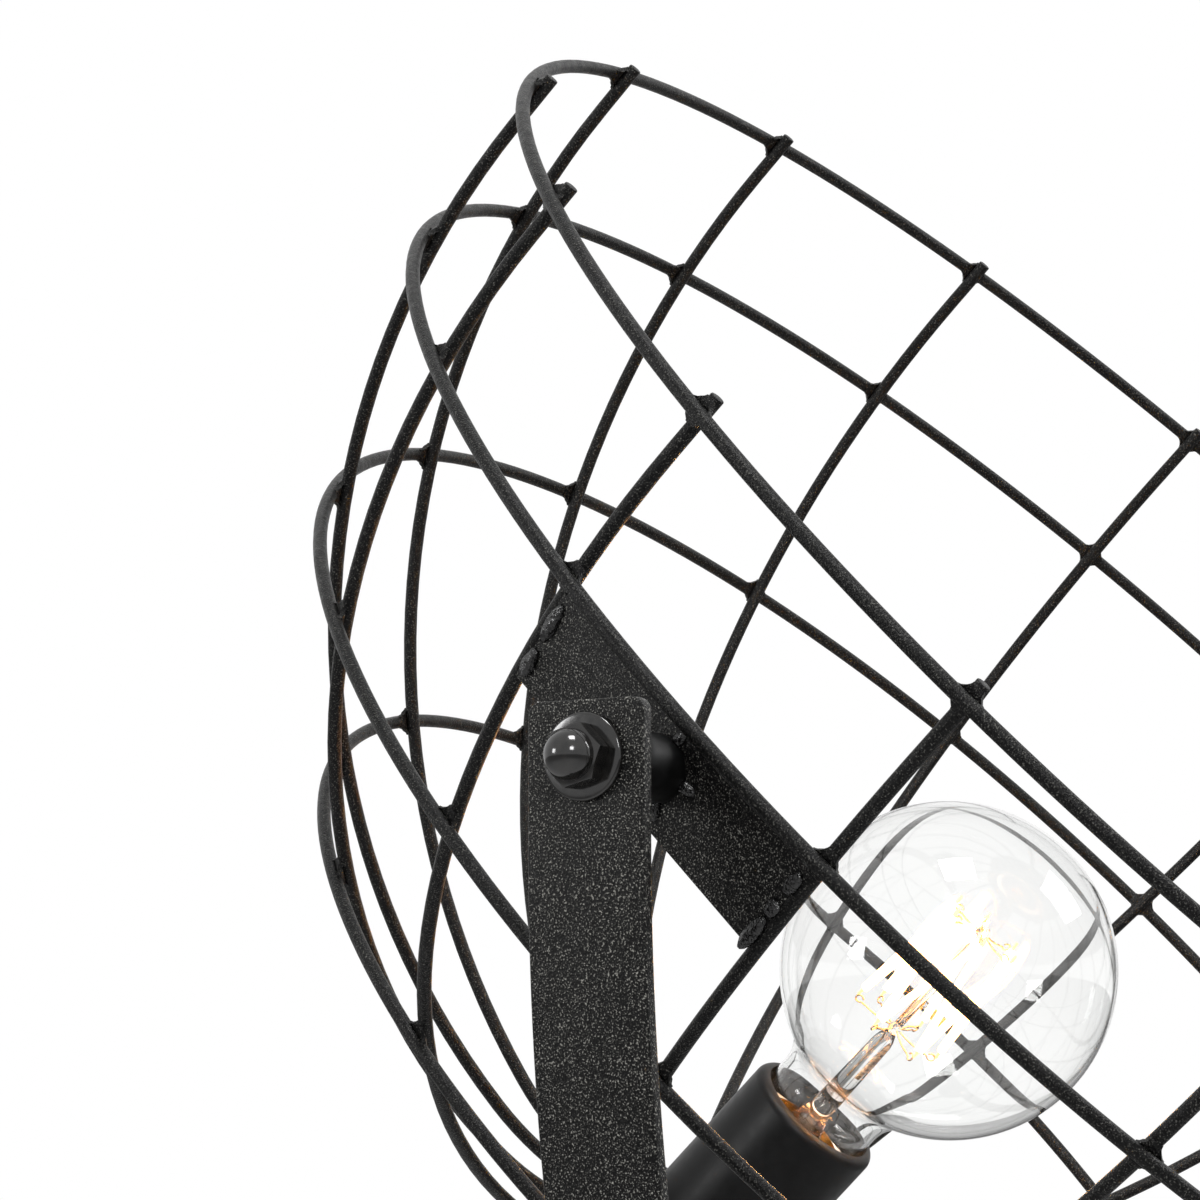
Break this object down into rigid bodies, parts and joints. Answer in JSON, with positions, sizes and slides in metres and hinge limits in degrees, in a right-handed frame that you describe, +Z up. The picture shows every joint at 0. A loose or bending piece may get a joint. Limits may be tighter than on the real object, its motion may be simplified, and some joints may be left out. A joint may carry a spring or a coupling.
{
  "type": "wire cage floor lamp",
  "caption": "Floor lamp with an open bowl of black wire as its shade, tilting in a flat-bar fork on a round pole and disc base, with a clear globe bulb.",
  "frame": {"origin": "centre of the underside of the base pad, on the floor", "axes": "+Z up; the tilt axis is parallel to X, between the fork's arms; the cage opens towards -Y and up"},
  "size_m": [0.564, 0.432, 1.5336],
  "materials": {
    "powder_coat": "fine sandy matt black",
    "black_steel": "glossy black",
    "zinc_steel": "plain zinc plated",
    "clear_glass": "clear, smooth",
    "lamp_wire": "fine bright wire",
    "glowing_filament": "glowing warm orange",
    "cap_metal": "bright, thinly plated",
    "contact_brass": "bright",
    "white_ceramic": "glazed white ceramic",
    "black_insulator": "satin black",
    "nylon": "satin black",
    "pad_rubber": "matt black"
  },
  "bodies": {
    "head": {"acorn_nuts": "black_steel", "bulb_cap": "cap_metal", "bulb_contact": "black_insulator", "bulb_filament": "glowing_filament", "bulb_glass": "clear_glass", "bulb_stem": "clear_glass", "bulb_supports": "lamp_wire", "cage_rib_01": "powder_coat", "cage_rib_02": "powder_coat", "cage_rib_03": "powder_coat", "cage_rib_04": "powder_coat", "cage_rib_05": "powder_coat", "cage_rib_06": "powder_coat", "cage_rib_07": "powder_coat", "cage_rib_08": "powder_coat", "cage_rib_09": "powder_coat", "cage_rib_10": "powder_coat", "cage_rib_11": "powder_coat", "cage_rib_12": "powder_coat", "cage_rib_13": "powder_coat", "cage_rib_14": "powder_coat", "cage_rib_15": "powder_coat", "cage_rib_16": "powder_coat", "cage_ring_lower": "powder_coat", "cage_ring_middle": "powder_coat", "cage_ring_upper": "powder_coat", "cord_gland": "black_insulator", "hollow_nipple": "zinc_steel", "hub_plate": "powder_coat", "lampholder_contact": "contact_brass", "lampholder_core": "white_ceramic", "lampholder_screw_shell": "cap_metal", "lampholder_shell": "powder_coat", "nipple_nuts": "zinc_steel", "pivot_bolts": "zinc_steel", "pivot_bosses": "powder_coat", "pivot_plate_left": "powder_coat", "pivot_plate_right": "powder_coat", "rim_ring": "powder_coat"},
    "stand": {"base_pad": "pad_rubber", "base_plate": "powder_coat", "fork": "powder_coat", "friction_washers": "nylon", "outer_washers": "black_steel", "pole": "powder_coat", "pole_inserts": "zinc_steel", "stand_bolts": "zinc_steel"}
  },
  "joints": [
    {"name": "head_tilt", "type": "hinge", "parent": "stand", "child": "head", "pos_m": [0, 0, 1.30345], "axis": [1, 0, 0], "range_deg": [-46.5, 133.5]}
  ]
}
